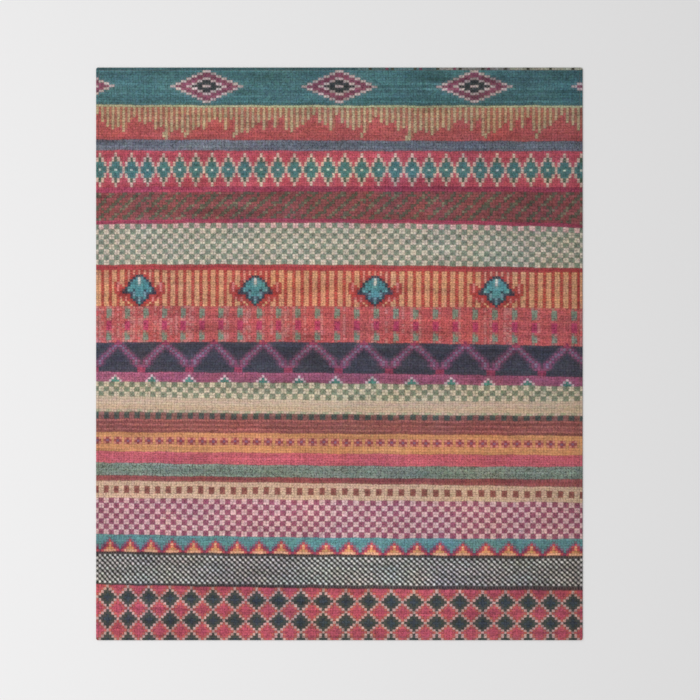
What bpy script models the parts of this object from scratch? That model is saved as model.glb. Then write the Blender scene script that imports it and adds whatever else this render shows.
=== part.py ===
"""Fleece throw blanket, opened out flat.

One rectangle of brushed fleece with rounded corners. All four edges are turned to the
back once and sewn down, so the cloth is a little thicker along a narrow hem and is drawn
down along the line of stitches. It lies on a level surface with its plain side down.

Frame, in metres: the origin is at the middle of the underside, +X runs across the throw,
+Y along it and +Z up.
"""

import math

import bmesh
import bpy

NAME = "throw_blanket"

# The cut of the cloth.
WIDTH = 1.295
LENGTH = 1.524
CORNER_RADIUS = 0.005
CORNER_STEPS = 3

# Thicknesses: of one layer with its nap, over the turned hem, and under the stitches.
CLOTH_THICK = 0.0024
HEM_THICK = 0.0029
STITCH_THICK = 0.0019

# How far in from the edge the hem's parts lie.
HEM_SHOULDER = 0.0022
STITCH_INSET = 0.0074
FLAT_INSET = 0.0104

# The rounding of the folded edge, on every edge of the mesh sharper than this.
EDGE_ROUND = 0.0007
EDGE_STEPS = 2
EDGE_ANGLE = math.radians(60)

# Two lengths closer than this are the same.
TOUCH = 1e-6

# The mesh's squares across and along.
SQUARES_X = 26
SQUARES_Y = 30

# The cloth's own unevenness: its upper face rises and falls by this much.
SWELL = 0.00035
SWELL_WAVE_X = 0.43
SWELL_WAVE_Y = 0.31
SWELL_PHASE = 0.7
SWELL_SLANT = 2.1

FLEECE_COLOUR = (0.42, 0.12, 0.12, 1.0)
FLEECE_ROUGHNESS = 0.95


def clear_scene():
    for obj in list(bpy.data.objects):
        bpy.data.objects.remove(obj, do_unlink=True)


def new_collection(name):
    collection = bpy.data.collections.new(name)
    bpy.context.scene.collection.children.link(collection)
    return collection


def fleece_material():
    material = bpy.data.materials.new("brushed_fleece")
    material.use_nodes = True
    shader = material.node_tree.nodes["Principled BSDF"]
    shader.inputs["Base Color"].default_value = FLEECE_COLOUR
    shader.inputs["Roughness"].default_value = FLEECE_ROUGHNESS
    shader.inputs["Metallic"].default_value = 0.0
    return material


def flat_rectangle():
    """A level grid of squares as large as the throw."""
    sheet = bmesh.new()
    bmesh.ops.create_grid(sheet, x_segments=SQUARES_X, y_segments=SQUARES_Y, size=0.5)
    bmesh.ops.scale(sheet, vec=(WIDTH, LENGTH, 1.0), verts=sheet.verts)
    return sheet


def edge_distance(x, y):
    """How far a point lies in from the nearest straight edge."""
    return min(WIDTH / 2 - abs(x), LENGTH / 2 - abs(y))


def round_corners(sheet):
    """Cuts the outline's four corners to an arc within the outermost row of faces."""
    corners = [
        vertex
        for vertex in sheet.verts
        if edge_distance(vertex.co.x, 0) < TOUCH and edge_distance(0, vertex.co.y) < TOUCH
    ]
    mitres = [edge for vertex in corners for edge in vertex.link_edges if not edge.is_boundary]
    bmesh.ops.dissolve_edges(sheet, edges=mitres, use_verts=False)
    bmesh.ops.bevel(
        sheet,
        geom=corners,
        offset=CORNER_RADIUS,
        offset_type="OFFSET",
        segments=CORNER_STEPS,
        profile=0.5,
        affect="VERTICES",
    )


def add_hem_rows(sheet):
    """Rows of faces along the edge, between the lines where the hem changes height."""
    inner = list(sheet.faces)
    inset_so_far = 0.0
    for line in (HEM_SHOULDER, STITCH_INSET, FLAT_INSET):
        bmesh.ops.inset_region(
            sheet,
            faces=inner,
            thickness=line - inset_so_far,
            use_boundary=True,
            use_even_offset=True,
        )
        inset_so_far = line


def upper_height(x, y):
    """Thickness of the throw at a point: hem, stitch line or open cloth."""
    inset = edge_distance(x, y)
    if inset < (HEM_SHOULDER + STITCH_INSET) / 2:
        return HEM_THICK
    if inset < (STITCH_INSET + FLAT_INSET) / 2:
        return STITCH_THICK
    across = math.sin(2 * math.pi * x / SWELL_WAVE_X + SWELL_PHASE)
    along = math.sin(2 * math.pi * y / SWELL_WAVE_Y + SWELL_SLANT * x)
    return CLOTH_THICK + SWELL * across * along


def thicken(sheet):
    """Gives the sheet an upper face over its flat underside."""
    under = list(sheet.faces)
    made = bmesh.ops.extrude_face_region(sheet, geom=under, use_keep_orig=True)
    for item in made["geom"]:
        if isinstance(item, bmesh.types.BMVert):
            item.co.z = upper_height(item.co.x, item.co.y)
    bmesh.ops.recalc_face_normals(sheet, faces=sheet.faces)


def build_throw_cloth(collection):
    sheet = flat_rectangle()
    add_hem_rows(sheet)
    round_corners(sheet)
    thicken(sheet)
    mesh = bpy.data.meshes.new("throw_cloth")
    sheet.to_mesh(mesh)
    sheet.free()
    throw = bpy.data.objects.new("throw_cloth", mesh)
    throw.data.materials.append(fleece_material())
    collection.objects.link(throw)
    rounding = throw.modifiers.new("edge_rounding", "BEVEL")
    rounding.width = EDGE_ROUND
    rounding.segments = EDGE_STEPS
    rounding.limit_method = "ANGLE"
    rounding.angle_limit = EDGE_ANGLE
    return throw


def main():
    clear_scene()
    build_throw_cloth(new_collection(NAME))


main()
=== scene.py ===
# %% [markdown]
# # A printed fleece throw, spread out flat
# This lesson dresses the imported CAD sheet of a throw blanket. The real throw is one piece of
# brushed polyester fleece. Its face carries a print of an old flat-woven rug: bands of small
# geometric motifs, each built from little squares of yarn. Its edges are turned under once
# and sewn. It lies face up on a pale floor, and the camera looks straight down on it.

import math

import bpy
import numpy as np
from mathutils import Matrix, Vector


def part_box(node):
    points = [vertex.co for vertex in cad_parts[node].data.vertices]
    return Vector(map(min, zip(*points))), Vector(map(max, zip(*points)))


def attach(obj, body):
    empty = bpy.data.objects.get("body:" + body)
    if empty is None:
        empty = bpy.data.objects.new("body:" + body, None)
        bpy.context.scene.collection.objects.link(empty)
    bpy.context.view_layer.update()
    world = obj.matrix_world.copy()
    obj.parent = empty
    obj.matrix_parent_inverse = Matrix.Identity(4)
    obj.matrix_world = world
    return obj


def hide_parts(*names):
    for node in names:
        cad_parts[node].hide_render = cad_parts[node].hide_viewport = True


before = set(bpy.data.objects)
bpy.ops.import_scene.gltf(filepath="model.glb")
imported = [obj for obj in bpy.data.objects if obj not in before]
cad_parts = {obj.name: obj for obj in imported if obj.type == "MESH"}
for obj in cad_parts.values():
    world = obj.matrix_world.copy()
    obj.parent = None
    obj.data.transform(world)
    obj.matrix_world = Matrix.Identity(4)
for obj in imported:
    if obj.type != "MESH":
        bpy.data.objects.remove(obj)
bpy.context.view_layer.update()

# %% [markdown]
# ## Sizes
# The scene works in metres, in the CAD's own frame: the origin is under the middle of the
# throw, +X runs across it, +Y along it and +Z up. The sizes repeat those of the CAD source,
# so that the dressed throw fills the same space.

# %% Sizes in metres
MM = 0.001
WIDTH, LENGTH = 1295 * MM, 1524 * MM
CORNER_RADIUS = 5 * MM
CLOTH_THICK = 2.4 * MM
STITCH_INSET = 7.4 * MM
WEAVE_UNIT = 6.9 * MM  # about one knot
low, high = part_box("throw_cloth")
print("throw_cloth is", round(high.x - low.x, 4), "by", round(high.y - low.y, 4))

# %% [markdown]
# ## The grid of knots
# The print shows a rug, and a rug's picture is made of knots: 176 across and 229 along. The
# rug had shrunk unevenly, so its columns differ in width and its bands are not quite level.
# MARKS gives the place of every sixteenth column edge, in millimetres from the left edge. The
# table of bands holds, for each band, how many rows it has and how tall it is in millimetres
# near the left edge, in the middle and near the right edge. LEANS says how far the columns
# have slid to the right at those three places, in millimetres, on some of the rows.
#
# These figures weren't taken with a ruler. Separate scripts measured how far the bands of a
# trial render lay from the photograph's. MARKS and more than half of the heights are as worked
# out from that. The other heights, and LEANS, were typed in from what was measured.

# %% Columns and bands
COLUMNS = 176
MARK_STEP = 16
MARKS = (0, 109.9, 223.2, 338.4, 455.2, 573.7, 693.8, 813.7, 934.5, 1055.7, 1176.1, 1295)
BANDS = (
    ("large_lozenges", 15, (99.4, 101.1, 101.2)),
    ("olive_line", 1, (5.4, 5.4, 5.3)),
    ("fringe_teeth", 13, (87.0, 87.7, 90.0)),
    ("slate", 4, (28.9, 28.0, 26.6)),
    ("small_lozenges", 16, (97.3, 94.2, 96.0)),
    ("magenta_line", 2, (14.7, 14.1, 13.1)),
    ("twill", 11, (73.7, 72.9, 83.0)),
    ("crimson_line", 2, (10.4, 10.7, 9.6)),
    ("green_check", 16, (107.9, 111.7, 109.3)),
    ("red_line", 2, (14.0, 15.9, 12.3)),
    ("medallions", 15, (96.8, 95.0, 95.8)),
    ("coral_dots", 15, (96.1, 96.0, 100.3)),
    ("zigzag", 12, (79.4, 82.2, 81.7)),
    ("peaks", 4, (25.8, 27.1, 25.8)),
    ("small_check", 6, (38.9, 45.0, 40.6)),
    ("cream", 6, (41.3, 37.2, 38.9)),
    ("dentils", 2, (18.9, 15.2, 14.1)),
    ("brown", 6, (35.5, 36.8, 39.1)),
    ("crosses", 8, (50.8, 52.6, 51.9)),
    ("pink", 5, (30.6, 32.5, 30.6)),
    ("sage", 5, (33.5, 32.4, 33.7)),
    ("rust_line", 2, (14.5, 14.9, 20.0)),
    ("cream_squares", 7, (45.9, 44.2, 41.5)),
    ("plum_check", 14, (97.2, 100.3, 97.9)),
    ("triangles", 7, (45.8, 44.7, 45.0)),
    ("dark_line", 1, (6.4, 6.9, 7.2)),
    ("dots", 11, (77.9, 74.5, 73.6)),
    ("dark_hairline", 1, (4.3, 9.3, 11.2)),
    ("diamonds_top", 1, (8.2, 9.9, 9.9)),
    ("diamonds", 13, (92.7, 90.8, 89.3)),
    ("diamonds_below", 4, (31.7, 25.7, 22.9)),
    ("diamonds_low", 1, (7.7, 5.4, 5.4)),
    ("diamonds_cut", 1, (6.8, 5.9, 5.8)),
)
ROWS = sum(rows for _, rows, _ in BANDS)
LEANS = (
    (7, (2.9, 2.4, -0.3)),
    (41, (2.9, 2.4, -0.3)),
    (72, (2.7, 1.1, -0.5)),
    (97, (2.4, 0.3, -2.1)),
    (118, (0.0, 0.8, -1.9)),
    (145, (-1.3, -0.8, 0.0)),
    (190, (-3.2, -2.7, 2.1)),
    (220, (-0.8, -3.0, 0.0)),
)
print("the chart is", COLUMNS, "knots wide and", ROWS, "rows long, in", len(BANDS), "bands")

# %% [markdown]
# ## Yarn colours
# Vegetable-dyed wool is never pure: each colour is a little grey. The colours are given as
# sRGB hex values, as a colour picker shows them. Blender's shaders work in linear light, so
# one function turns every hex value into linear red, green and blue.
#
# Most of these values weren't chosen by eye. A separate script scaled the yarns of each band
# so that the band's mean colour in a trial render matched the photograph's. The rest were
# typed in later, after more comparisons of the same kind.

# %% Yarn colours
YARNS = dict(
    teal="#3f6065", teal_deep="#354e52", teal_grey="#4a5f62", plum="#6b3b4c", ink="#282e30",
    shell="#9c8d8c", beige="#88877a", beige_pink="#7a7875", olive_dark="#3c3b2f",
    olive_pale="#9b9c7e", tooth="#a08e72", rust="#90594d", brick="#9b4e4e", slate="#5a606b",
    rose="#a14854", lozenge_cream="#b49a8f", lozenge_teal="#436767", moss="#435244",
    dot_white="#b3b6ae", magenta="#87394d", maroon="#7d4547", bark="#524f44",
    bark_pale="#6e6555", crimson="#8d3c50", check_cream="#b8ac9d", check_rose="#c29f9b",
    check_green="#6f796b", red="#963a3f", apricot="#ba8869", apricot_rose="#bb8170",
    stripe_red="#953836", salmon="#b96e6b", navy="#303540", aqua="#4c7c81",
    aqua_deep="#39424f", aqua_pale="#6d9092", aqua_grey="#667f88", white="#bbb5ac",
    umber="#5f4347", coral="#a95253", coral_rose="#ae6b69", dot_green="#737c6f",
    dot_green_edge="#8b6962", dot_magenta="#9f3b57", charcoal="#3b3b46",
    charcoal_plum="#50404f", mulberry="#75455f", lilac="#706074", purple="#874d64",
    peak_white="#b49ca3", peak_teal="#417269", cream_grey="#b9ab95", sage_grey="#707764",
    joint_red="#813950", cream="#bba791", cream_rose="#bda593", cream_orange="#b8a088",
    cream_sage="#a09f85", pine_dark="#404845", clay="#79524f", brown_light="#935954",
    brown_dark="#784644", amber="#bc845d", cross_plum="#7c5668", cross_red="#8b4447",
    cross_haze="#ba786a", pink="#b05863", sage="#6b766d", rust_dark="#7d4344",
    cream_warm="#ba9c85", square_brown="#7c4742", check_plum="#85485c",
    check_pink="#c19e9e", turquoise="#588184", tri_orange="#cb8760", tri_ochre="#bd9060",
    tri_salmon="#cd997d", tri_red="#a6464f", tri_edge="#7a3b56", tri_tip="#6a616e",
    tri_haze="#6f6373", soot="#353032", dot_pale="#b6b3b2", dot_dark="#242220",
    diamond_red="#a24a59", diamond_coral="#a2534d", pine="#3e413d", dusk="#363d45",
    diamond_cream="#ab8b87",
)
YARN_NAMES = list(YARNS)


def to_linear(hex_colour):
    """An sRGB hex colour as three linear numbers."""
    parts = [int(hex_colour[i : i + 2], 16) / 255 for i in (1, 3, 5)]
    return tuple(c / 12.92 if c <= 0.04045 else ((c + 0.055) / 1.055) ** 2.4 for c in parts)


yarn_linear = np.array([to_linear(YARNS[name]) for name in YARN_NAMES])
print(len(YARNS), "yarns, the darkest with linear green", round(float(yarn_linear[:, 1].min()), 3))

# %% [markdown]
# ## Charting the bands
# A weaver works from a chart: squared paper with a letter for each yarn. Each band below is
# such a chart. A plain band is one colour. A motif that is the same on both sides is written
# as half rows, from its middle outwards, and stamped wherever it repeats.

# %% Helpers for the charts
def plain(rows, yarn):
    return np.full((rows, COLUMNS), yarn, dtype=object)


def stamp(band, half_rows, legend, centre, top=0):
    """Writes a mirrored motif into a band. A space leaves the knot as it is."""
    for row, half in enumerate(half_rows, start=top):
        for step, letter in enumerate(half):
            if letter == " ":
                continue
            for column in (centre - step, centre + step):
                if 0 <= column < COLUMNS:
                    band[row, column] = legend[letter]


def checker(cells, first, second, phase):
    """Squares of two knots by two, in two yarns."""
    band = plain(2 * cells, first)
    rows, columns = np.indices(band.shape)
    band[((columns + phase) // 2 + rows // 2) % 2 == 1] = second
    return band


chart = {}
chance = np.random.default_rng(1524)
print("a plain band of two rows has", plain(2, "slate").size, "knots")

# %% [markdown]
# ### Large lozenges
# The first band is teal with wide stepped lozenges. Their outline moves two knots sideways
# for each row, which gives the long low shape of kilim motifs. The rug was photographed a
# little askew before it was printed, so the last row of the pattern's next repeat shows
# along the right part of the upper edge.

# %% Large lozenges
LARGE_LOZENGE = (
    "cc",
    "ppcc",
    "ppppcc",
    "ccppppcc",
    "kkccppppcc",
    "kkkkccppppcc",
    "cckkkkccppppcc",
    "kkkkccppppcc",
    "kkccppppcc",
    "ccppppcc",
    "ppppcc",
    "ppcc",
    "cc",
)
band = plain(15, "teal")
for centre in range(-7, COLUMNS + 13, 48):
    stamp(band, LARGE_LOZENGE, {"c": "shell", "p": "plum", "k": "ink"}, centre, top=1)
band[0, :] = "teal_deep"
band[0, 96:124] = "teal_grey"
band[0, 124:150] = "beige_pink"
band[0, 150:] = "beige"
band[0, 100::8] = "olive_dark"
band[0, 106:150:12] = "plum"
chart["large_lozenges"] = band
chart["olive_line"] = plain(1, "olive_pale")
print("large lozenges:", sorted(set(band.ravel())))

# %% [markdown]
# ### Fringe teeth
# Under an olive line hang teeth of olive yarn on every second knot, like a fringe, and their
# lengths rise and fall. Between the teeth the ground is browner, where both yarns share the
# rows. The lengths were charted in a repeat of 44, and a few loose drops hang lower.

# %% Fringe teeth
TOOTH_LENGTHS = (
    3, 6, 8, 9, 8, 10, 6, 4, 6, 7, 6, 9, 8, 13, 10, 9, 10, 11, 9, 8, 9, 6,
    5, 6, 9, 5, 11, 10, 10, 8, 6, 9, 5, 8, 4, 9, 10, 8, 7, 5, 3, 6, 7, 9,
)
DROPS = ((25, 11), (33, 11), (51, 11), (97, 11), (113, 12), (141, 11), (159, 11))
band = plain(13, "brick")
for tooth, column in enumerate(range(0, COLUMNS, 2)):
    length = TOOTH_LENGTHS[tooth % len(TOOTH_LENGTHS)]
    band[:length, column] = "tooth"
    band[: max(length - 1, 2), column + 1] = "rust"
for column, row in DROPS:
    band[row - 1 : row + 1, column] = "tooth"
chart["fringe_teeth"] = band
chart["slate"] = plain(4, "slate")
print("teeth from", min(TOOTH_LENGTHS), "to", max(TOOTH_LENGTHS), "rows long")

# %% [markdown]
# ### Small lozenges
# Thirty lozenges stand side by side and share their side points. Each is outlined in cream
# and filled with teal, with one pale knot at its heart.

# %% Small lozenges
SMALL_LOZENGE = (
    "c", "c", "gc", "gc", "ttc", "ttc", "tttc", "ottc", "tttc", "ttc", "ttc", "gc", "gc", "c", "c",
)
LOZENGE_YARNS = {"c": "lozenge_cream", "g": "moss", "t": "lozenge_teal", "o": "dot_white"}
band = plain(16, "rose")
for centre in range(1, COLUMNS + 3, 6):
    stamp(band, SMALL_LOZENGE, LOZENGE_YARNS, centre, top=1)
chart["small_lozenges"] = band
chart["magenta_line"] = plain(2, "magenta")
print("small lozenges: one every 6 knots")

# %% [markdown]
# ### Twill flecks
# A maroon band is crossed by slanting flecks of bark-brown yarn, two knots wide, that climb
# one knot to the right for each row, as the ribs of a twill do.

# %% Twill, and the green check below it
RIB_STEP, RIB_WIDE = 5, 2
ON_RIB, OFF_RIB, PALE_RIB = 0.84, 0.06, 0.20
rows, columns = np.indices((11, COLUMNS))
band = plain(11, "maroon")
on_rib = (rows + columns) % RIB_STEP < RIB_WIDE
band[on_rib & (chance.random(on_rib.shape) < ON_RIB)] = "bark"
band[~on_rib & (chance.random(on_rib.shape) < OFF_RIB)] = "bark"
band[on_rib & (chance.random(on_rib.shape) < PALE_RIB)] = "bark_pale"
chart["twill"] = band
print("twill:", int((band == "bark").sum()), "bark knots of", band.size)
chart["crimson_line"] = plain(2, "crimson")
band = checker(8, "check_green", "check_cream", phase=1)
band[0:2][band[0:2] == "check_cream"] = "check_rose"
chart["green_check"] = band
chart["red_line"] = plain(2, "red")

# %% [markdown]
# ### Striped band with medallions
# Apricot stripes, two knots of every three, run down a red ground. Four aqua medallions
# outlined in navy sit on it. Round each one the stripes thin out and break up.

# %% Striped band with medallions
MEDALLION_FIRST, MEDALLION_STEP = 16, 43
STRIPES_NEAR = (
    "lrlrlrooroo",
    "lrlrlrooroo",
    "rrrrlrooroo",
    "rrrrlrooroo",
    "rrrrlrooroo",
    "rrrrrroopro",
    "rrrrrrorpro",
    "rrrrrrrrpro",
    "rrrrrrrrpro",
    "rrrrrrrrrro",
    "rrrrrrrrroo",
    "rrrrrprproo",
    "rrrrrproroo",
    "rrrrorooroo",
    "rrrorrooroo",
)
MEDALLION = (
    "nn",
    "wan",
    "waan",
    "waaan",
    "paaan",
    "aaaaan",
    "aanapnu",
    "aabddnn",
    "aabn",
    "bdan",
    "bdn",
    "an",
    "n",
)
STRIPE_YARNS = {"o": "apricot", "l": "apricot_rose", "r": "stripe_red", "p": "salmon"}
MEDALLION_YARNS = {
    "n": "navy", "w": "white", "a": "aqua", "p": "aqua_pale", "b": "aqua_grey",
    "d": "aqua_deep", "u": "umber",
}
band = plain(15, "stripe_red")
for column in range(COLUMNS):
    place = (column - MEDALLION_FIRST + 4) % MEDALLION_STEP
    striped = place % 2 == 0 if place < 10 else (place - 10) % 3 < 2
    if striped:
        band[:, column] = "apricot"
medallion_columns = list(range(MEDALLION_FIRST, COLUMNS, MEDALLION_STEP))
for centre in medallion_columns:
    stamp(band, STRIPES_NEAR, STRIPE_YARNS, centre)
    stamp(band, MEDALLION, MEDALLION_YARNS, centre, top=2)
chart["medallions"] = band
print("medallions at columns", medallion_columns)

# %% [markdown]
# ### Dotted columns, zigzag and peaks
# Next come columns of green, magenta and green blocks on coral; a dark band with a zigzag of
# mulberry yarn around a lilac core; and a purple band with small teal peaks edged in white.

# %% Dotted columns
FADED_AT, FADED = (0, 60, COLUMNS), (0.8, 0.35, 0.25)
UNFADED = 0.35
ZIGZAG_FIRST, ZIGZAG_STEP = 8, 18
band = plain(15, "coral")
faded = np.interp(np.arange(COLUMNS), FADED_AT, FADED)
band[:, chance.random(COLUMNS) < faded] = "coral_rose"
band[chance.random(band.shape) < UNFADED] = "coral"
dot_columns = range(4, COLUMNS, 7)
for left in dot_columns:
    pair = slice(left, left + 2)
    band[1:5, pair] = "dot_green"
    band[6:10, pair] = "dot_magenta"
    band[11:14, pair] = "dot_green"
    band[[0, 10, 14], left] = "dot_green_edge"
    band[[4, 11], left + 1] = "dot_green_edge"
for apex in range(ZIGZAG_FIRST, COLUMNS, ZIGZAG_STEP):
    band[14, apex] = "joint_red"
chart["coral_dots"] = band
print("dotted columns:", len(dot_columns))

# %% Zigzag
SLOPE = 0.93  # knots sideways for each row
half_step = ZIGZAG_STEP // 2
band = plain(12, "charcoal")
for column in range(COLUMNS):
    from_apex = abs((column - ZIGZAG_FIRST + half_step) % ZIGZAG_STEP - half_step)
    for row in range(12):
        off_line = abs(from_apex - round(SLOPE * row))
        if (row >= 10 and from_apex >= 8) or (row == 0 and from_apex <= 1):
            band[row, column] = "joint_red"
        elif row == 9 and from_apex >= 8:
            band[row, column] = "mulberry"
        elif row < 10 and off_line <= 2:
            band[row, column] = ("lilac", "mulberry", "charcoal_plum")[off_line]
chart["zigzag"] = band
print("zigzag: one apex every", ZIGZAG_STEP, "knots")

# %% Peaks and the small check
PEAK_COLUMNS = (7, 21, 35, 48, 62, 75, 88, 101, 115, 129, 142, 156, 170)
band = plain(4, "purple")
for centre in PEAK_COLUMNS:
    stamp(band, ("w", "tw", "ttw"), {"w": "peak_white", "t": "peak_teal"}, centre, top=1)
chart["peaks"] = band
chart["small_check"] = checker(3, "cream_grey", "sage_grey", phase=1)
print("peaks:", len(PEAK_COLUMNS))

# %% [markdown]
# ### Cream, brown and amber bands
# Plain bands rest the eye between the patterned ones. A row of dentils, square teeth of dark
# green, edges the brown band. Small crosses run along the amber one.

# %% Plain bands with small marks
band = plain(6, "cream")
band[1::2, :] = "cream_rose"
band[3:5, :] = "cream_orange"
band[5, 0::4] = "cream_sage"
band[5, 1::4] = "cream_sage"
chart["cream"] = band
band = plain(2, "clay")
for column in range(COLUMNS):
    if column % 4 in (3, 0):
        band[:, column] = "pine_dark"
chart["dentils"] = band
band = plain(6, "brown_light")
band[1::2, :] = "brown_dark"
chart["brown"] = band
CROSS_YARNS = {"p": "cross_plum", "r": "cross_red", "h": "cross_haze"}
band = plain(8, "amber")
for centre in range(0, COLUMNS, 4):
    stamp(band, ("rh", "pr", "rh"), CROSS_YARNS, centre, top=2)
chart["crosses"] = band
chart["pink"] = plain(5, "pink")
chart["sage"] = plain(5, "sage")
chart["rust_line"] = plain(2, "rust_dark")
band = plain(7, "cream_warm")
for column in range(COLUMNS):
    if column % 4 in (3, 0):
        band[2:5, column] = "square_brown"
chart["cream_squares"] = band
chart["plum_check"] = checker(7, "check_plum", "check_pink", phase=3)
print("bands charted so far:", len(chart))

# %% [markdown]
# ### Triangles, dots and diamonds
# Orange triangles stand in a row on turquoise. A band of single knots, dark and pale in
# turn, looks like pebbles. The last band is a lattice of cream dots with red and dark green
# diamonds between them, and the lower edge cuts through its third row. The cut runs a little
# askew, so beyond column 60 the last two rows of the chart are one row behind. The rows differ
# in height, so the band is split into parts that the table of bands sizes one by one.

# %% Triangles and dots
TRIANGLE = ("t", "rh", "srh", "ormh", "yorm", "sssrm")
TRIANGLE_YARNS = {
    "t": "tri_tip", "h": "tri_haze", "m": "tri_edge", "r": "tri_red", "o": "tri_orange",
    "y": "tri_ochre", "s": "tri_salmon",
}
band = plain(7, "turquoise")
for centre in range(-3, COLUMNS + 5, 8):
    stamp(band, TRIANGLE, TRIANGLE_YARNS, centre, top=1)
chart["triangles"] = band
chart["dark_line"] = plain(1, "soot")
band = plain(11, "dot_dark")
rows, columns = np.indices(band.shape)
band[(rows + columns) % 2 == 1] = "dot_pale"
chart["dots"] = band
chart["dark_hairline"] = plain(1, "soot")
print("pebble band:", int((band == "dot_pale").sum()), "pale knots")

# %% Diamonds
rows, columns = np.indices((20, COLUMNS))
rows[18:] -= columns[18:] > 60
apart = abs(columns % 8 - 4) + abs(rows % 8 - 4)
band = plain(20, "diamond_cream")
band[apart < 4] = "pine"
band[apart < 2] = "dusk"
band[apart > 4] = "diamond_coral"
band[apart > 5] = "diamond_red"
DIAMOND_ROWS = {
    "diamonds_top": 1, "diamonds": 13, "diamonds_below": 4, "diamonds_low": 1, "diamonds_cut": 1,
}
first_row = 0
for title, count in DIAMOND_ROWS.items():
    chart[title] = band[first_row : first_row + count]
    first_row += count
print("diamonds:", int((band == "diamond_cream").sum()), "cream dots")

# %% [markdown]
# ## The whole chart
# The bands are stacked into one chart of knots. Two helpers come with it: one makes uneven
# waves along the rows, and one turns a table of bands into one number for each row.

# %% Stack the bands
for title, count, _ in BANDS:
    if chart[title].shape != (count, COLUMNS):
        raise ValueError(f"band {title} has the wrong shape {chart[title].shape}")
whole = np.concatenate([chart[title] for title, _, _ in BANDS])
yarn_index = np.vectorize(YARN_NAMES.index)(whole)


def streaks(step, keep):
    """Random waves along the rows, with one mark every few knots. Rows resemble each other."""
    marks = chance.normal(0, 1, (ROWS, COLUMNS // step + 2))
    for row in range(1, ROWS):
        marks[row] = keep * marks[row - 1] + math.sqrt(1 - keep * keep) * marks[row]
    places = np.arange(COLUMNS) / step
    return np.array([np.interp(places, np.arange(len(m)), m) for m in marks])


def for_each_row(by_band, usual):
    """One number for each row of the chart, from a table of bands."""
    return np.concatenate([np.full(rows, by_band.get(title, usual)) for title, rows, _ in BANDS])


print("the whole chart is", whole.shape[1], "by", whole.shape[0], "knots")

# %% [markdown]
# ## Uneven yarn
# No two knots of a hand-spun yarn are the same, so each gets its own small change of tone.
# Weavers also run out of one dye lot and start the next in the middle of a band, which leaves
# long streaks along the rows. All of it comes from seeded random numbers. The rows of the
# first band differ most, and its last row is the darkest.

# %% Tone and tint of each knot
UNEVENNESS = {
    "large_lozenges": 1.4, "slate": 1.4,
    "green_check": 0.6, "small_check": 0.6, "cream": 0.5, "crosses": 0.8, "pink": 0.8,
    "cream_squares": 0.5, "plum_check": 0.6, "dots": 1.3,
}
FIRST_ROWS, FIRST_ROW_TONE, ROW_TONE = 15, 0.09, 0.03
LAST_OF_FIRST = -0.17
LONG_STREAKS, SHORT_STREAKS, KNOT_TONE = 0.13, 0.07, 0.06
WARM_STREAKS, GREEN_STREAKS, KNOT_TINT = 0.04, 0.03, 0.02
PALER_SHARE = 0.75
row_spread = np.where(np.arange(ROWS) < FIRST_ROWS, FIRST_ROW_TONE, ROW_TONE)[:, None]
row_tone = chance.normal(0, 1, (ROWS, 1)) * row_spread
row_tone[FIRST_ROWS - 1] = LAST_OF_FIRST
tone = row_tone + LONG_STREAKS * streaks(20, 0.25) + SHORT_STREAKS * streaks(6, 0.5)
tone = tone + chance.normal(0, KNOT_TONE, whole.shape)
warmth = WARM_STREAKS * streaks(9, 0.9) + chance.normal(0, KNOT_TINT, whole.shape)
greenness = GREEN_STREAKS * streaks(14, 0.8) + chance.normal(0, KNOT_TINT, whole.shape)
uneven = for_each_row(UNEVENNESS, 1.0)[:, None]
tone = np.where(tone > 0, PALER_SHARE * tone, tone) * uneven
calm_tint = np.minimum(uneven, 1 / uneven)
warmth, greenness = warmth * calm_tint, greenness * calm_tint
print("tone varies by", tone.std().round(3), "and warmth by", warmth.std().round(3))

# %% [markdown]
# ## Dye lots and painted shade
# Some bands start in one dye lot and end in another. DYE_LOTS gives their change of tone near
# the left edge, in the middle and near the right edge. The colours also carry painted shade:
# they darken a little near the left edge and more towards the right edge.

# %% Colour of each knot
DYE_LOTS = {
    "large_lozenges": (0.13, -0.02, 0.05),
    "fringe_teeth": (-0.03, 0.06, -0.1),
    "magenta_line": (0.3, 0.0, -0.08),
    "coral_dots": (0.0, -0.05, 0.02),
    "red_line": (0.0, 0.0, 0.12),
    "crosses": (-0.04, 0.02, 0.05),
    "plum_check": (-0.07, 0.06, 0.0),
    "dots": (-0.07, 0.0, 0.0),
    "peaks": (0.12, 0.0, 0.0),
    "rust_line": (0.1, -0.05, 0.1),
    "triangles": (-0.16, 0.08, -0.04),
}
DYE_LOTS_AT = (0.1, 0.5, 0.9)
# Painted shade across the throw: a small dip near the left edge and a fall towards the right edge.
PAINTED_SIDE_SHADE_AT = (0.0, 0.02, 0.06, 0.5, 0.8, 0.93, 0.97, 1.0)
PAINTED_SIDE_SHADE = (0.99, 0.97, 1.02, 1.0, 0.95, 0.89, 0.87, 0.76)
column_share = np.arange(COLUMNS) / COLUMNS
row_start = 0
for title, count, _ in BANDS:
    lots = DYE_LOTS.get(title, (0, 0, 0))
    tone[row_start : row_start + count] += np.interp(column_share, DYE_LOTS_AT, lots)
    row_start += count
tint = np.exp(np.stack([tone + warmth, tone + greenness, tone - warmth], axis=-1))
painted_side_shade = np.interp((np.arange(COLUMNS) + 0.5) / COLUMNS, PAINTED_SIDE_SHADE_AT, PAINTED_SIDE_SHADE)
knot_colour = np.clip(yarn_linear[yarn_index] * tint * painted_side_shade[:, None], 0, 1)
print("the knots' mean linear colour is", knot_colour.mean(axis=(0, 1)).round(3))

# %% [markdown]
# ## Where the knots lie
# Column edges come from the spacing table. Row edges come from the bands' heights at three
# places across the throw, joined by a smooth curve.

# %% Column and row edges
STATIONS = np.array((0.07, 0.50, 0.93))


def row_edges_at_stations():
    """Row edges at the three stations, from the upper edge down: one line per row edge."""
    heights = np.concatenate(
        [np.tile(np.array(tall) / count, (count, 1)) for _, count, tall in BANDS]
    )
    edges = np.concatenate([np.zeros((1, 3)), np.cumsum(heights, axis=0)])
    return LENGTH / 2 - edges / edges[-1] * LENGTH


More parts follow.
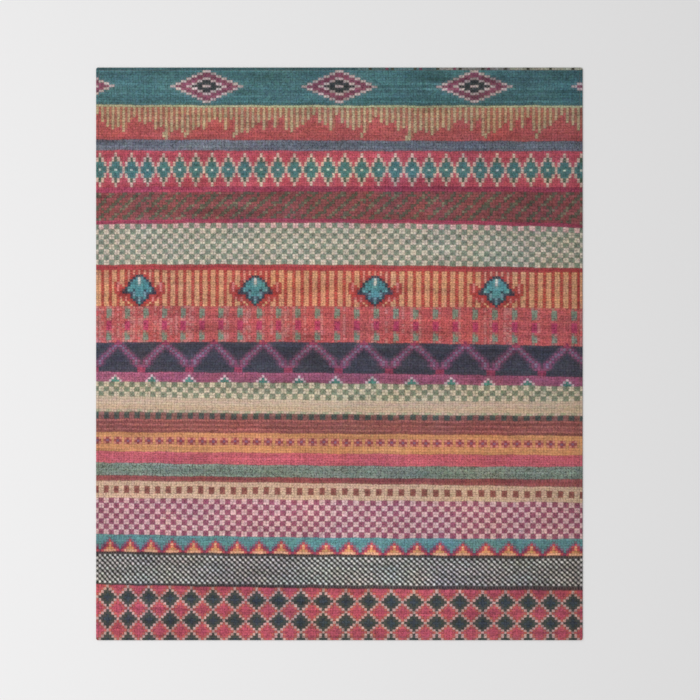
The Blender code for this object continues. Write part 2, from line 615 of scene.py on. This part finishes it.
def through_stations(values, share):
    """Fits a parabola through the values at the three stations."""
    total = np.zeros(np.broadcast(values[..., :1], share).shape)
    for i in range(3):
        weight = np.ones_like(share)
        for j in range(3):
            if j != i:
                weight = weight * (share - STATIONS[j]) / (STATIONS[i] - STATIONS[j])
        total = total + values[..., i : i + 1] * weight
    return total


knot_x = np.interp(np.arange(COLUMNS + 1), np.arange(len(MARKS)) * MARK_STEP, MARKS) * MM
knot_x = knot_x - WIDTH / 2
station_y = row_edges_at_stations()
print("a knot is", round(1000 * WIDTH / COLUMNS, 2), "by", round(1000 * LENGTH / ROWS, 2), "mm")

# %% [markdown]
# ## Lines of the mesh
# The mesh needs a face for each knot, and near the edge it also needs narrow faces where the
# hem rolls over and dips under the stitches. So its lines are the knots' edges together with
# a few lines at fixed distances from the outer edge. The rows also wave by up to a millimetre,
# as hand-beaten rows do. The waves die out near the upper and lower edges.

# %% Grid lines
HEM_LINES = np.array((0.0, 0.25, 0.7, 1.4, 2.2, 3.7, 5.3, 7.4, 8.8, 10.4)) * MM
ROW_WAVES = (
    # Height and length of the wave, in metres, how fast it moves on from row to row and where
    # it starts.
    (0.6 * MM, 0.19, 0.23, 0.0),
    (0.4 * MM, 0.083, 0.391, 1.0),
)
CALM_ROWS = 3.0
near_left = -WIDTH / 2 + HEM_LINES[1:]
line_x = np.sort(np.concatenate([knot_x, near_left, -near_left]))
share_x = line_x / WIDTH + 0.5
knot_of_x = np.interp(line_x, knot_x, np.arange(COLUMNS + 1))

row_number = np.arange(ROWS + 1)
calm = np.clip(np.minimum(row_number, ROWS - row_number) / CALM_ROWS - 1.0, 0, 1)[:, None]
row_y = through_stations(station_y, share_x[None, :])
for tall, long, moves, start in ROW_WAVES:
    turn = 2 * math.pi * line_x / long + moves * row_number[:, None] + start
    row_y = row_y + calm * tall * np.sin(turn)

top_hem = np.repeat((LENGTH / 2 - HEM_LINES[1:])[:, None], len(line_x), axis=1)
all_y = np.concatenate([row_y, top_hem, -top_hem])
middle_y = np.concatenate([station_y[:, 1], top_hem[:, 0], -top_hem[:, 0]])
order = np.argsort(-middle_y)
line_y = all_y[order]
knot_of_y = np.interp(-middle_y[order], -station_y[:, 1], row_number)
if (np.diff(line_y, axis=0) >= 0).any():
    raise ValueError("two rows of the mesh cross")
print("the mesh has", len(line_x), "by", len(line_y), "lines")

# %% [markdown]
# ## Height of the cloth
# The folded edge rolls over, stands 2.9 mm high over its two layers, dips to 1.95 mm under
# the line of stitches and rises again to the open cloth. The open cloth swells and sinks a
# little, as cloth does that has been folded in a cupboard.

# %% Heights
HEM_HEIGHTS = np.array((1.3, 2.1, 2.6, 2.84, 2.9, 2.86, 2.6, 1.95, 2.12, 2.4)) * MM
SWELL, SWELL_X, SWELL_Y = 0.35 * MM, 0.43, 0.31
SWELL_PHASE, SWELL_SLANT = 0.7, 2.1
RIPPLE, RIPPLE_X, RIPPLE_Y = 0.12 * MM, 0.117, 0.143
RIPPLE_PHASE, RIPPLE_SLANT = 1.3, 3.1
CALM_FROM, CALM_TO = 8 * MM, 30 * MM


def inset_of(x, y):
    """How far a point of the square-cornered grid lies in from the nearest edge."""
    return np.minimum(WIDTH / 2 - abs(x), LENGTH / 2 - abs(y))


def surface_height(x, y):
    inset = inset_of(x, y)
    swell = np.sin(2 * math.pi * x / SWELL_X + SWELL_PHASE)
    swell = swell * np.sin(2 * math.pi * y / SWELL_Y + SWELL_SLANT * x)
    ripple = np.sin(2 * math.pi * x / RIPPLE_X + RIPPLE_SLANT * y)
    ripple = ripple * np.sin(2 * math.pi * y / RIPPLE_Y + RIPPLE_PHASE)
    inside = np.clip((inset - CALM_FROM) / (CALM_TO - CALM_FROM), 0, 1)
    inside = inside * inside * (3 - 2 * inside)
    hem = np.interp(inset, HEM_LINES, HEM_HEIGHTS)
    return hem + inside * (SWELL * swell + RIPPLE * ripple)


def rounded(x, y):
    """Pulls the square corners of the grid on to an arc of the corner's radius."""
    u = CORNER_RADIUS - (WIDTH / 2 - abs(x))
    v = CORNER_RADIUS - (LENGTH / 2 - abs(y))
    inside = (u > 0) & (v > 0)
    far = np.where(inside, np.hypot(u, v), 1.0)
    scale = np.where(inside, np.maximum(u, v) / far, 1.0)
    new_x = np.where(inside, np.sign(x) * (WIDTH / 2 - CORNER_RADIUS + u * scale), x)
    new_y = np.where(inside, np.sign(y) * (LENGTH / 2 - CORNER_RADIUS + v * scale), y)
    return new_x, new_y


print("the cloth's middle is", round(1000 * float(surface_height(0.0, 0.0)), 2), "mm high")

# %% [markdown]
# ## Every knot a little out of place
# The columns slide sideways as LEANS says. Then each knot's corners move a little at random,
# up to about a millimetre, and its pile is a little higher or lower. In the striped band the
# red yarn is thicker than the apricot one, so the lines between them move into the apricot.

# %% Corners of the knots
LEANS_AT = (0.013, 0.11, 0.5, 0.89, 0.987)
LOOSE_FROM, LOOSE_OVER = 13 * MM, 6 * MM
PILE_VARIES = 0.05 * MM
CORNERS_MOVE, CORNERS_MOVE_MOST = 0.5 * MM, 1.1 * MM
RED_PUSHES = 0.45 * MM
lean_rows = [row for row, _ in LEANS]
lean_at = np.array([slid for _, slid in LEANS]) * MM
row_leans = [np.interp(knot_of_y, lean_rows, lean_at[:, i]) for i in range(3)]
still = np.zeros_like(knot_of_y)
stops = np.stack([still, *row_leans, still], axis=1)
slide = np.array([np.interp(share_x, LEANS_AT, row) for row in stops])
grid_x = line_x[None, :] + slide
grid_y = line_y
loose = np.clip((inset_of(grid_x, grid_y) - LOOSE_FROM) / LOOSE_OVER, 0, 1)
grid_z = surface_height(grid_x, grid_y)
grid_z = grid_z + loose * chance.normal(0, PILE_VARIES, grid_z.shape)
shift = chance.normal(0, CORNERS_MOVE, (2,) + grid_z.shape)
shift = shift.clip(-CORNERS_MOVE_MOST, CORNERS_MOVE_MOST) * loose
row_of_cell = ((knot_of_y[:-1] + knot_of_y[1:]) / 2).astype(int)
column_of_cell = ((knot_of_x[:-1] + knot_of_x[1:]) / 2).astype(int)
cell_yarn = whole[np.ix_(row_of_cell, column_of_cell)]
thin = np.isin(cell_yarn, ("apricot", "apricot_rose", "salmon"))
thicker = (cell_yarn == "stripe_red") * 1.0 - thin
push = RED_PUSHES * (thicker[:, :-1] - thicker[:, 1:])
shift[0, 1:-1, 1:-1] += (push[:-1] + push[1:]) / 2 * loose[1:-1, 1:-1]
top_x, top_y = rounded(grid_x + shift[0], grid_y + shift[1])
print("heights from", round(1000 * grid_z.min(), 2), "to", round(1000 * grid_z.max(), 2), "mm")

# %% [markdown]
# ## The underside
# The cloth's printed face turns under the edge, so the hem is printed on the back too, for
# 8 mm, up to the cut edge of the fleece. Past that the back is plain and unprinted. It is
# built as rings that follow the outline inwards, each with its own inset and height, and
# then a coarse level field, because a flat face needs no small squares.

# %% Rings under the edge
RINGS = np.array((
    (0.25, 0.60), (0.7, 0.20), (1.4, 0.03), (2.2, 0.0), (6.7, 0.0), (7.4, 0.35),
    (8.0, 0.05), (8.2, 0.30), (8.4, 0.78), (9.4, 0.70), (11.0, 0.15), (12.5, 0.0),
)) * MM
PRINTED_RINGS = 7
PULL = 60 * MM
RING_MARGIN = 0.3  # knots past the chart's edge, where the rings' weave starts
ny, nx = len(line_y) - 1, len(line_x) - 1


def round_trip(last_row, last_column):
    """The row and column of each point on a grid's outer edge, all the way round."""
    there = [(last_row, i) for i in range(last_column)]
    there += [(j, last_column) for j in range(last_row, 0, -1)]
    back = [(0, i) for i in range(last_column, 0, -1)] + [(j, 0) for j in range(last_row)]
    return there + back


def pulled_in(value, half, inset):
    """Moves a coordinate so that the outer edge lies at the inset, easing off inwards."""
    gap = half - abs(value)
    moved = np.where(gap < PULL, inset + gap * (1 - inset / PULL), gap)
    return np.sign(value) * (half - moved)


def ring_points(inset, height):
    x = pulled_in(grid_x[loop_rows, loop_columns], WIDTH / 2, inset)
    y = pulled_in(grid_y[loop_rows, loop_columns], LENGTH / 2, inset)
    x, y = rounded(x, y)
    return np.stack([x, y, np.full(len(x), height)], axis=1)


loop = round_trip(ny, nx)
loop_rows, loop_columns = np.array(loop).T
rings = [ring_points(inset, height) for inset, height in RINGS]
print(len(rings), "rings of", len(loop), "points")

# %% [markdown]
# ## Building the mesh
# Points and faces go into plain lists first. Each face also gets a colour and a material:
# print on the face and the turned hem, bare fleece on the back. The weave map stores, for
# each corner, the knot and row it belongs to, so a material can draw threads at their size.

# %% Points and faces
points = [np.stack([top_x.ravel(), top_y.ravel(), grid_z.ravel()], axis=1)] + rings
start_of_ring = [grid_z.size + k * len(loop) for k in range(len(rings))]
top_weave = np.stack(np.broadcast_arrays(knot_of_x[None, :], knot_of_y[:, None]), -1)
edge_weave = top_weave[loop_rows, loop_columns]
outward_x = (loop_columns == nx) * 1.0 - (loop_columns == 0)
outward_y = (loop_rows == ny) * 1.0 - (loop_rows == 0)
outward = np.stack([outward_x, outward_y], 1)
weave = [top_weave.reshape(-1, 2)]
for inset, _ in RINGS:
    weave.append(edge_weave + outward * (inset / WEAVE_UNIT + RING_MARGIN))


def quads(index):
    """The four points of each face of a grid, seen from above."""
    points_of_face = [index[1:, :-1], index[1:, 1:], index[:-1, 1:], index[:-1, :-1]]
    return np.stack(points_of_face, -1).reshape(-1, 4)


top_index = np.arange(grid_z.size).reshape(ny + 1, nx + 1)
faces = quads(top_index).tolist()
face_knot = [(row, column) for row in row_of_cell for column in column_of_cell]
face_back = [False] * len(faces)
outer = [int(top_index[j, i]) for j, i in loop]
lines = [outer] + [[start + k for k in range(len(loop))] for start in start_of_ring]
for number, (above, below) in enumerate(zip(lines[:-1], lines[1:])):
    for k in range(len(loop)):
        after = (k + 1) % len(loop)
        faces.append((above[after], above[k], below[k], below[after]))
        row = row_of_cell[min(loop_rows[k], loop_rows[after], ny - 1)]
        column = column_of_cell[min(loop_columns[k], loop_columns[after], nx - 1)]
        face_knot.append((row, column))
        face_back.append(number >= PRINTED_RINGS)
print(len(faces), "faces before the back's field")

# %% [markdown]
# The level field on the back takes every fourth line of the grid. A row of wider faces joins
# it to the last ring: each has several short edges outside and one long edge inside.

# %% The back's field
STEP = 4
FIELD_INSET = 22 * MM
coarse_i = sorted(set(range(0, nx, STEP)) | {nx})
coarse_j = sorted(set(range(0, ny, STEP)) | {ny})
field_x = pulled_in(line_x[coarse_i], WIDTH / 2, FIELD_INSET)
field_y = pulled_in(grid_y[coarse_j], LENGTH / 2, FIELD_INSET)[:, coarse_i]
field_start = grid_z.size + len(rings) * len(loop)
field_points = np.stack(
    [np.repeat(field_x[None, :], len(coarse_j), 0), field_y, np.zeros_like(field_y)], -1
).reshape(-1, 3)
points.append(field_points)
weave.append(field_points[:, :2] / WEAVE_UNIT)
field_index = field_start + np.arange(len(field_points)).reshape(len(coarse_j), len(coarse_i))
faces += quads(field_index)[:, ::-1].tolist()
place_in_loop = {key: k for k, key in enumerate(loop)}
last_ring = lines[-1]
coarse_loop = round_trip(len(coarse_j) - 1, len(coarse_i) - 1)
for k, (b, a) in enumerate(coarse_loop):
    b2, a2 = coarse_loop[(k + 1) % len(coarse_loop)]
    first = place_in_loop[(coarse_j[b], coarse_i[a])]
    last = place_in_loop[(coarse_j[b2], coarse_i[a2])]
    count = (last - first) % len(loop)
    outside = [last_ring[(first + m) % len(loop)] for m in range(count, -1, -1)]
    faces.append((*outside, int(field_index[b, a]), int(field_index[b2, a2])))
extra = len(faces) - len(face_knot)
face_knot += [(0, 0)] * extra
face_back += [True] * extra
print(extra, "faces on the back's field")

# %% [markdown]
# Now the lists become a mesh. Smooth shading hides the small faces' edges.

# %% Make the throw's mesh
def place_object(name, data):
    made = bpy.data.objects.new(name, data)
    bpy.context.scene.collection.objects.link(made)
    return made


def mesh_object(name, vertices, polygons):
    mesh = bpy.data.meshes.new(name)
    mesh.from_pydata([tuple(v) for v in vertices], [], [tuple(map(int, f)) for f in polygons])
    mesh.validate()
    return place_object(name, mesh)


throw = mesh_object("printed_throw", np.concatenate(points), faces)
mesh = throw.data
mesh.polygons.foreach_set("use_smooth", np.ones(len(faces), bool))
corner_vertex = np.zeros(len(mesh.loops), int)
mesh.loops.foreach_get("vertex_index", corner_vertex)
sizes = np.array([len(f) for f in faces])
corner_face = np.repeat(np.arange(len(faces)), sizes)

weave_map = mesh.uv_layers.new(name="weave")
corner_weave = np.concatenate(weave)[corner_vertex].astype(np.float32)
weave_map.uv.foreach_set("vector", corner_weave.ravel())
rows, columns = np.array(face_knot).T
colour = np.ones((len(faces), 4))
colour[:, :3] = knot_colour[rows, columns]
mesh.polygons.foreach_set("material_index", np.array(face_back).astype(np.int32))
mesh.update()
print("printed_throw:", len(mesh.polygons), "faces,", int((sizes - 2).sum()), "triangles")

# %% [markdown]
# ## Where knots meet
# Ink spreads a little in the nap, so the knots' edges are soft. A second colour, stored at
# each corner, is the average of the knots that meet there, and the material fades towards it
# from the middle of a knot to its edge. In the pebble band the pale knots lean on each other
# along one diagonal only, so there a corner is pale on that diagonal and dark on the other.
# How far the ink spreads and how strong the grain of the tufts is differ from band to band,
# so both travel in the two colours' alpha channels.

# %% Colours where knots meet
JOINT_SHARE = {True: 0.9, False: 0.42}  # of the pale pair, beside a pale and a dark knot
cell_colour = knot_colour[np.ix_(row_of_cell, column_of_cell)]
cell_pale = (whole == "dot_pale")[np.ix_(row_of_cell, column_of_cell)]


def four_around(table):
    """For each corner of the grid, its four cells: upper left, upper right and the lower two."""
    padded = np.pad(table, ((1, 1), (1, 1)) + ((0, 0),) * (table.ndim - 2), mode="edge")
    return padded[:-1, :-1], padded[:-1, 1:], padded[1:, :-1], padded[1:, 1:]


pale = four_around(cell_pale)
falling = pale[0] & pale[3] & ~pale[1] & ~pale[2]
rising = pale[1] & pale[2] & ~pale[0] & ~pale[3]
around = four_around(cell_colour)
pale_pair, dark_pair = (around[0] + around[3]) / 2, (around[1] + around[2]) / 2
joined = {True: sum(around) / 4, False: sum(around) / 4}
for of_pale_knot, share in JOINT_SHARE.items():
    joined[of_pale_knot][falling] = (share * pale_pair + (1 - share) * dark_pair)[falling]
    joined[of_pale_knot][rising] = pale_pair[rising]
SPREAD, GRAIN = 0.55, 0.42
BAND_SPREAD = dict.fromkeys(DIAMOND_ROWS, 0.28) | {
    "dots": 0.95, "medallions": 0.68, "crosses": 0.35, "zigzag": 0.45, "plum_check": 0.45,
    "triangles": 0.4,
}
BAND_GRAIN = {
    "slate": 0.55, "sage": 0.7, "coral_dots": 0.46, "crosses": 0.3, "cream": 0.28,
    "red_line": 0.3, "crimson_line": 0.35,
}
colour[:, 3] = for_each_row(BAND_SPREAD, SPREAD)[rows]
meeting_of_corner = colour[corner_face].copy()
top_loops = 4 * ny * nx
top_vertex = corner_vertex[:top_loops]
on_pale = np.repeat(cell_pale.ravel(), 4)[:, None]
meeting_of_corner[:top_loops, :3] = np.where(
    on_pale, joined[True].reshape(-1, 3)[top_vertex], joined[False].reshape(-1, 3)[top_vertex]
)
meeting_of_corner[:, 3] = for_each_row(BAND_GRAIN, GRAIN)[rows][corner_face]
for name, values in (("yarn", colour[corner_face]), ("yarn_meeting", meeting_of_corner)):
    layer = mesh.color_attributes.new(name, "FLOAT_COLOR", "CORNER")
    layer.data.foreach_set("color", values.astype(np.float32).ravel())
print("pebble joints:", int(falling.sum()), "pale and", int(rising.sum()), "dark")

# %% [markdown]
# ## A helper for materials
# A material is a small graph: each node works out one thing and hands it to the next, and the
# shader comes last. One function adds a node, sets its properties and fills its inputs. The
# print's graph starts with three nodes that read the mesh: the knot's colour, the joint's
# colour and the place in the weave.

# %% Node helper
def fill_inputs(tree, node, inputs):
    """Fills inputs with a value, a socket, or a node, which stands for its first output."""
    for key, value in inputs.items():
        if isinstance(value, bpy.types.Node):
            value = value.outputs[0]
        if isinstance(value, bpy.types.NodeSocket):
            tree.links.new(value, node.inputs[key])
        else:
            node.inputs[key].default_value = value


def add_node(tree, kind, settings=None, inputs=None):
    node = tree.nodes.new("ShaderNode" + kind)
    for key, value in (settings or {}).items():
        setattr(node, key, value)
    fill_inputs(tree, node, inputs or {})
    return node


def new_material(name):
    """A material, its graph and the shader that the graph starts out with."""
    material = bpy.data.materials.new(name)
    material.use_nodes = True
    return material, material.node_tree, material.node_tree.nodes["Principled BSDF"]


printed_fleece, tree, shader = new_material("printed_brushed_polyester_fleece")
knot = add_node(tree, "Attribute", {"attribute_name": "yarn"})
joint = add_node(tree, "Attribute", {"attribute_name": "yarn_meeting"})
place = add_node(tree, "UVMap", {"uv_map": "weave"})
print("the print starts from", knot.attribute_name, "and", joint.attribute_name)

# %% [markdown]
# ## Soft-edged knots
# The weave map counts knots, so the fractions of its two numbers say where in a knot a point
# lies. From the middle of the knot to its edge the knot's colour fades into the joint's.

# %% Soft edges
SOFT_FROM, KNOT_EDGE = 0.15, 0.5
axes = add_node(tree, "SeparateXYZ", inputs={"Vector": place})
from_middle = {}
for axis in ("X", "Y"):
    part = add_node(tree, "Math", {"operation": "FRACT"}, {0: axes.outputs[axis]})
    centred = add_node(tree, "Math", {"operation": "SUBTRACT"}, {0: part, 1: 0.5})
    from_middle[axis] = add_node(tree, "Math", {"operation": "ABSOLUTE"}, {0: centred})
farthest = add_node(
    tree, "Math", {"operation": "MAXIMUM"}, {0: from_middle["X"], 1: from_middle["Y"]}
)
softness = add_node(
    tree,
    "MapRange",
    {"interpolation_type": "SMOOTHSTEP"},
    {
        "Value": farthest, "From Min": SOFT_FROM, "From Max": KNOT_EDGE,
        "To Max": knot.outputs["Alpha"],
    },
)
yarn = add_node(
    tree,
    "Mix",
    {"data_type": "RGBA"},
    {"Factor": softness, 6: knot.outputs["Color"], 7: joint.outputs["Color"]},
)
print("a knot starts to fade", SOFT_FROM, "of its width from its middle")

# %% [markdown]
# ## Furrows, streaks and tufts
# The print carries the rug's own texture. Furrows darken the edges of each knot. Streaks about
# 6 mm wide and 100 mm long run along the warp, where it took the dye unevenly. Tufts about
# 3 mm across differ in tone, so their pattern runs at more than two a knot.

# %% Shade of the print
FURROWS = {"X": 0.12, "Y": 0.15}
FURROW_FROM = 0.2
PRINT_TEXTURE = (
    # What it is, its kind, its cycles a knot across and along, and its strength. The strength
    # of the tufts comes from the mesh.
    ("warp_streaks", "TexNoise", (1.1, 0.06, 1.0), 0.16),
    ("tufts", "TexVoronoi", (2.7, 2.1, 1.0), None),
)
shades = []
for axis, depth in FURROWS.items():
    furrow = add_node(
        tree,
        "MapRange",
        {"interpolation_type": "SMOOTHSTEP"},
        {
            "Value": from_middle[axis], "From Min": FURROW_FROM, "From Max": KNOT_EDGE,
            "To Min": 1 + depth / 3, "To Max": 1 - depth,
        },
    )
    shades.append(furrow)
for name, kind, scale, strength in PRINT_TEXTURE:
    stretch = add_node(tree, "Mapping", inputs={"Vector": place, "Scale": scale})
    noise = add_node(
        tree, kind, {"label": name}, {"Vector": stretch, "Scale": 1.0, "Detail": 1.0}
    )
    random = add_node(tree, "SeparateColor", inputs={"Color": noise.outputs["Color"]})
    swing = add_node(tree, "MapRange", inputs={"Value": random, "To Min": -1.0})
    strength = strength or joint.outputs["Alpha"]
    level = add_node(
        tree, "Math", {"operation": "MULTIPLY_ADD"}, {0: swing, 1: strength, 2: 1.0}
    )
    shades.append(level)
shade = shades[0]
for other in shades[1:]:
    shade = add_node(tree, "Math", {"operation": "MULTIPLY"}, {0: shade, 1: other})
print("the shade is a product of", len(shades), "parts")

# %% [markdown]
# ## Printed fleece
# The face is polyester fleece, brushed and sheared, with the colours printed into its nap.
# That gives a matt surface with soft specks of other dyes, a faint velvety sheen at low angles
# and no hard highlights. The nap's clumps are about 1 mm across and barely stand up.

# %% Printed fleece
speck_place = add_node(
    tree,
    "Mapping",
    inputs={"Vector": place, "Scale": (0.9, 0.9, 1.0), "Location": (7.0, 3.0, 0.0)},
)
speck = add_node(
    tree,
    "TexNoise",
    {"label": "specks_of_other_dyes"},
    {"Vector": speck_place, "Scale": 1.0, "Detail": 2.0},
)
speck_tint = add_node(
    tree,
    "Mix",
    {"data_type": "RGBA", "blend_type": "SOFT_LIGHT"},
    {"Factor": 0.2, 6: yarn.outputs[2], 7: speck.outputs["Color"]},
)
shaded = add_node(
    tree, "VectorMath", {"operation": "SCALE"}, {0: speck_tint.outputs[2], "Scale": shade}
)
nap = add_node(
    tree,
    "TexNoise",
    {"label": "nap"},
    {"Vector": place, "Scale": 6.0, "Detail": 3.0, "Roughness": 0.6},
)
nap_bump = add_node(
    tree, "Bump", inputs={"Strength": 0.35, "Distance": 0.0006, "Height": nap}
)
fill_inputs(
    tree,
    shader,
    {
        "Base Color": shaded, "Normal": nap_bump, "Roughness": 0.92, "IOR": 1.5,
        "Specular IOR Level": 0.2, "Sheen Weight": 0.04, "Sheen Roughness": 0.5,
    },
)
throw.data.materials.append(printed_fleece)
print("printed fleece uses", len(tree.nodes), "nodes")

# %% [markdown]
# ## Bare fleece back
# The print doesn't go through, so the back stays the fleece's own off-white, with the same
# brushed nap: small clumps of fibre about 2 mm across. The clumps are bumped and carry painted
# shade: the off-white is darker between them and lighter on their tops.

# %% Bare fleece
bare_fleece, tree, shader = new_material("bare_brushed_polyester_fleece")
place = add_node(tree, "UVMap", {"uv_map": "weave"})
clumps = add_node(
    tree,
    "TexNoise",
    {"label": "clumps_of_nap"},
    {"Vector": place, "Scale": 3.2, "Detail": 4.0, "Roughness": 0.65},
)
# Painted shade: darker off-white between the clumps, lighter on their tops, following the bump's
# height.
pale, painted_lit_clump_tops = (*to_linear("#cfc8bf"), 1.0), (*to_linear("#efe9e1"), 1.0)
back_with_painted_clump_shade = add_node(
    tree, "Mix", {"data_type": "RGBA"}, {"Factor": clumps, 6: pale, 7: painted_lit_clump_tops}
)
back_bump = add_node(
    tree, "Bump", inputs={"Strength": 0.5, "Distance": 0.0008, "Height": clumps}
)
fill_inputs(
    tree,
    shader,
    {
        "Base Color": back_with_painted_clump_shade.outputs[2], "Normal": back_bump, "Roughness": 0.95, "IOR": 1.5,
        "Specular IOR Level": 0.2, "Sheen Weight": 0.1, "Sheen Roughness": 0.5,
    },
)
throw.data.materials.append(bare_fleece)
print("the throw wears", [m.name for m in throw.data.materials])

# %% [markdown]
# ## Stitches
# A straight lockstitch holds the hem. Each stitch is about 3 mm long and its thread half a
# millimetre thick, so it is modelled as a small capsule, fattest in the middle, that sinks
# into the nap at both ends. One capsule is made along +X, then turned and copied along each
# side. The stitches show on the face and, along the same line, on the turned hem below.

# %% Stitches
STITCH_PITCH = 3.2 * MM
STITCH_HEIGHTS = (1.97 * MM, 0.30 * MM)  # on the face and on the turned hem
THREAD_RADIUS = 0.26 * MM
CAPSULE_RINGS = ((-1.1, 0.75), (-0.5, 1.0), (0.5, 1.0), (1.1, 0.75))  # place in mm, radius
CAPSULE_ENDS = (-1.35, 1.35)
SIDES = 6
capsule = []
for along, swell in CAPSULE_RINGS:
    for angle in np.arange(SIDES) * 2 * math.pi / SIDES:
        off_axis = THREAD_RADIUS * swell * np.array((-math.cos(angle), math.sin(angle)))
        capsule.append((along * MM, *off_axis))
capsule = np.array(capsule + [(along * MM, 0.0, 0.0) for along in CAPSULE_ENDS])
first_end, last_end = len(capsule) - 2, len(capsule) - 1
last_ring = first_end - SIDES
capsule_faces = []
for s in range(SIDES):
    t = (s + 1) % SIDES
    for ring in range(0, last_ring, SIDES):
        capsule_faces.append((ring + s, ring + t, ring + t + SIDES, ring + s + SIDES))
    capsule_faces.append((t, s, first_end))
    capsule_faces.append((last_ring + s, last_ring + t, last_end))

half_w, half_l = WIDTH / 2 - STITCH_INSET, LENGTH / 2 - STITCH_INSET
corners = np.array([(-half_w, -half_l), (half_w, -half_l), (half_w, half_l), (-half_w, half_l)])
stitch_points, stitch_faces = [], []
for height in STITCH_HEIGHTS:
    for here, there in zip(corners, np.roll(corners, -1, axis=0)):
        side_length = math.dist(here, there)
        count = round(side_length / STITCH_PITCH)
        cos, sin = (there - here) / side_length
        turned = capsule @ np.array(((cos, sin, 0), (-sin, cos, 0), (0, 0, 1)))
        for k in range(count):
            x, y = here + (there - here) * (k + 0.5) / count
            stitch_faces += [[v + len(stitch_points) for v in face] for face in capsule_faces]
            stitch_points += list(turned + (x, y, height))
stitches = mesh_object("hem_stitches", stitch_points, stitch_faces)
stitches.data.polygons.foreach_set("use_smooth", np.ones(len(stitch_faces), bool))
print("stitches:", len(stitch_points) // len(capsule), "with", len(stitch_faces), "faces")

# %% [markdown]
# Sewing thread is spun polyester: two plies twisted together, slightly glossier than the
# nap. The ply lines are 0.4 mm apart, too fine for this view, so a fine wave texture along
# the thread stands for them, as painted shade: darker in the grooves between the plies and
# lighter on their crests.

# %% Polyester sewing thread
sewing_thread, tree, shader = new_material("spun_polyester_thread")
spot = add_node(tree, "TexCoord")
plies = add_node(
    tree,
    "TexWave",
    {"label": "twisted_plies", "bands_direction": "DIAGONAL"},
    {"Vector": spot.outputs["Object"], "Scale": 800.0, "Distortion": 0.5},
)
# Painted shade: the darker colour lies in the grooves between the plies, the lighter one on their
# crests.
between, on_ply = (*to_linear("#6f6763"), 1.0), (*to_linear("#8d837d"), 1.0)
thread_with_painted_ply_shade = add_node(
    tree, "Mix", {"data_type": "RGBA"}, {"Factor": plies.outputs["Fac"], 6: between, 7: on_ply}
)
fill_inputs(
    tree, shader, {"Base Color": thread_with_painted_ply_shade.outputs[2], "Roughness": 0.6, "IOR": 1.53}
)
stitches.data.materials.append(sewing_thread)
print("the thread uses", len(tree.nodes), "nodes")

# %% [markdown]
# ## Floor, light and camera
# The throw lies on a pale floor under an even glow. A soft lamp above its left side makes
# that side a little brighter. A window low at the upper left draws a narrow shadow along the
# lower and right edges. The camera hangs over the throw, a little to the right of its
# middle, with a long lens so that the edges stay parallel.

# %% Floor
REACH = 6.0
FLOOR_GAP = 0.1 * MM
FLOOR_CORNERS = ((-REACH, -REACH, 0), (REACH, -REACH, 0), (REACH, REACH, 0), (-REACH, REACH, 0))
floor = mesh_object("floor", FLOOR_CORNERS, [(0, 1, 2, 3)])
floor.location.z = -FLOOR_GAP
floor_paint, tree, shader = new_material("matt_pale_floor")
fill_inputs(
    tree,
    shader,
    {"Base Color": (0.83, 0.826, 0.828, 1.0), "Roughness": 0.9, "Specular IOR Level": 0.1},
)
floor.data.materials.append(floor_paint)
print("floor is", 2 * REACH, "m wide")

# %% Lights
GLOW = 0.575
LAMPS = (
    # Name, watts, size in metres and place.
    ("soft_lamp", 66.0, 1.6, (-2.2, -1.4, 4.0)),
    ("window", 208.0, 2.0, (-6.2, 4.1, 4.1)),
)
world = bpy.data.worlds.new("studio")
bpy.context.scene.world = world
world.use_nodes = True
backdrop = world.node_tree.nodes["Background"]
backdrop.inputs["Color"].default_value = (1.0, 1.0, 1.0, 1.0)
backdrop.inputs["Strength"].default_value = GLOW
for name, watts, size, spot_at in LAMPS:
    lamp_data = bpy.data.lights.new(name, "AREA")
    lamp_data.shape = "SQUARE"
    lamp_data.size = size
    lamp_data.energy = watts
    lamp = place_object(name, lamp_data)
    lamp.location = spot_at
    lamp.rotation_euler = (-lamp.location).to_track_quat("-Z", "Y").to_euler()
    print(name, "is", round(lamp.location.length, 2), "m away")

# %% Camera
VIEW_WIDTH = 1.8628
CAMERA_OVER = (0.0283, 0.0103)
camera_data = bpy.data.cameras.new("camera")
camera_data.lens = 85.0
camera_data.sensor_width = 36.0
camera = place_object("camera", camera_data)
camera_height = VIEW_WIDTH * camera_data.lens / camera_data.sensor_width
camera.location = (*CAMERA_OVER, camera_height + CLOTH_THICK)
bpy.context.scene.camera = camera
bpy.context.scene.view_settings.view_transform = "Standard"
print("camera is", round(camera_height, 3), "m up")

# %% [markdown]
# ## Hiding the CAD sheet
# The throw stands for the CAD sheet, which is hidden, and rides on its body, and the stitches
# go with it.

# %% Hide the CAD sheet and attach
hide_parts("throw_cloth")
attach(throw, "root")
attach(stitches, "root")
